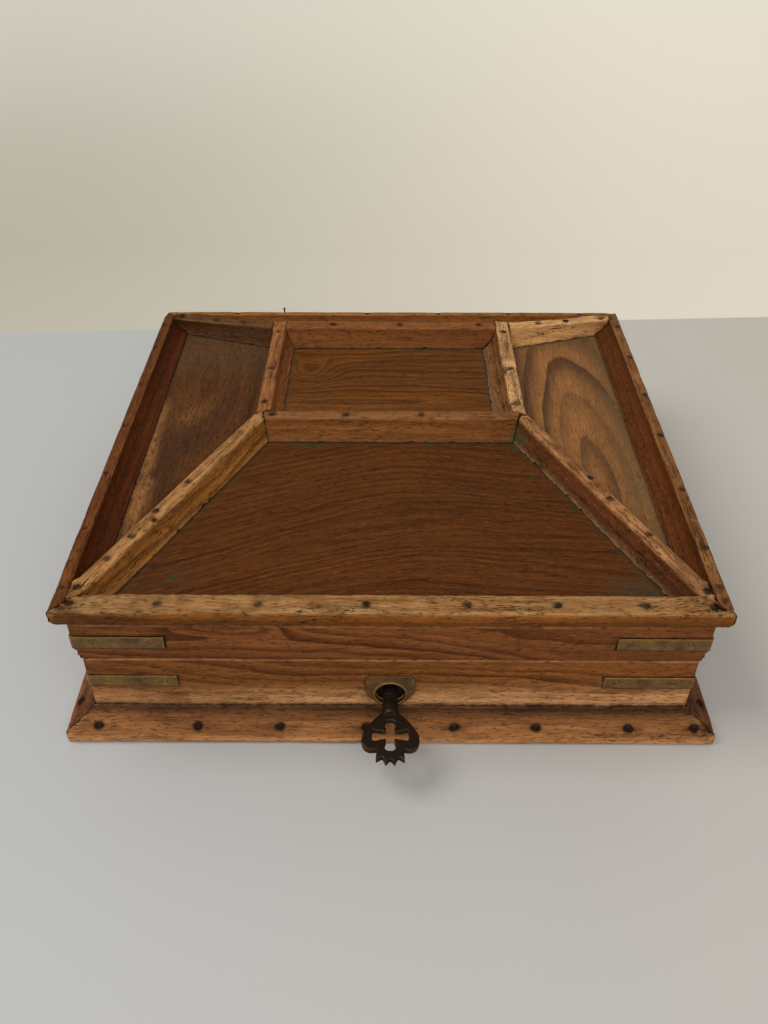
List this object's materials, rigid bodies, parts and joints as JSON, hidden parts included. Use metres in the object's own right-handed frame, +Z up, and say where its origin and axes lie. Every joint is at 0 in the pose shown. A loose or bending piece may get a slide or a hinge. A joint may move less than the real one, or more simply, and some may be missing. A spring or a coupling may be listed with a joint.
{
  "type": "lockable collection box",
  "caption": "Low hardwood box on a moulded plinth, with a hinged lid divided into shallow coved trays, brass corner straps, a box lock and an iron key.",
  "frame": {"origin": "centre of the underside of the plinth", "axes": "+X to the right seen from the front, +Y to the back, +Z up; the front faces -Y"},
  "size_m": [0.3, 0.3119, 0.0811],
  "materials": {
    "frame_wood": "worn, dry, open grain",
    "panel_wood": "dark, waxed, dusty",
    "moulding_wood": "rubbed pale on the edges",
    "brass": "aged, dull",
    "iron": "dark, lightly rusted"
  },
  "bodies": {
    "box": {"base_board": "frame_wood", "front_wall": "frame_wood", "right_wall": "frame_wood", "back_wall": "frame_wood", "left_wall": "frame_wood", "plinth_front": "moulding_wood", "plinth_right": "moulding_wood", "plinth_back": "moulding_wood", "plinth_left": "moulding_wood", "plinth_nails": "iron", "body_strap_front_left": "brass", "body_strap_front_right": "brass", "body_strap_back_right": "brass", "body_strap_back_left": "brass", "body_strap_pins": "brass", "escutcheon": "brass", "escutcheon_pins": "brass", "lock_plate": "brass", "lock_case": "iron", "drill_pin": "iron", "bolt_stud": "iron", "lock_spring": "iron", "body_screws": "iron", "body_hinge_leaf_left": "brass", "body_hinge_leaf_right": "brass", "hinge_pins": "iron"},
    "lid": {"lid_front": "frame_wood", "lid_right": "frame_wood", "lid_back": "frame_wood", "lid_left": "frame_wood", "panel_front": "panel_wood", "panel_left": "panel_wood", "panel_right": "panel_wood", "panel_centre": "panel_wood", "rim_front": "moulding_wood", "rim_right": "moulding_wood", "rim_back": "moulding_wood", "rim_left": "moulding_wood", "bar_cross": "moulding_wood", "bar_upright_left": "moulding_wood", "bar_upright_right": "moulding_wood", "bar_back": "moulding_wood", "bar_diagonal_left": "moulding_wood", "bar_diagonal_right": "moulding_wood", "bar_corner_left": "moulding_wood", "bar_corner_right": "moulding_wood", "rim_nails": "iron", "bar_nails": "iron", "lid_strap_front_left": "brass", "lid_strap_front_right": "brass", "lid_strap_back_right": "brass", "lid_strap_back_left": "brass", "lid_strap_pins": "brass", "lid_hinge_leaf_left": "brass", "lid_hinge_leaf_right": "brass", "link_plate": "brass", "lid_screws": "iron"},
    "bolt": {"lock_bolt": "brass"},
    "key": {"key": "iron"}
  },
  "joints": [
    {"name": "lid_hinge", "type": "hinge", "parent": "box", "child": "lid", "pos_m": [0, 0.1323, 0.04335], "axis": [-1, 0, 0], "range_deg": [0, 160]},
    {"name": "key_turn", "type": "hinge", "parent": "box", "child": "key", "pos_m": [0, -0.1298, 0.0214], "axis": [0, 1, 0], "range_deg": [-90, 90]},
    {"name": "bolt_slide", "type": "slide", "parent": "box", "child": "bolt", "axis": [1, 0, 0], "range_m": [-0.0051, 0.0051]}
  ],
  "couplings": [
    {"joint": "bolt_slide", "follows": "key_turn", "m_per_rad": 0.0031831}
  ]
}
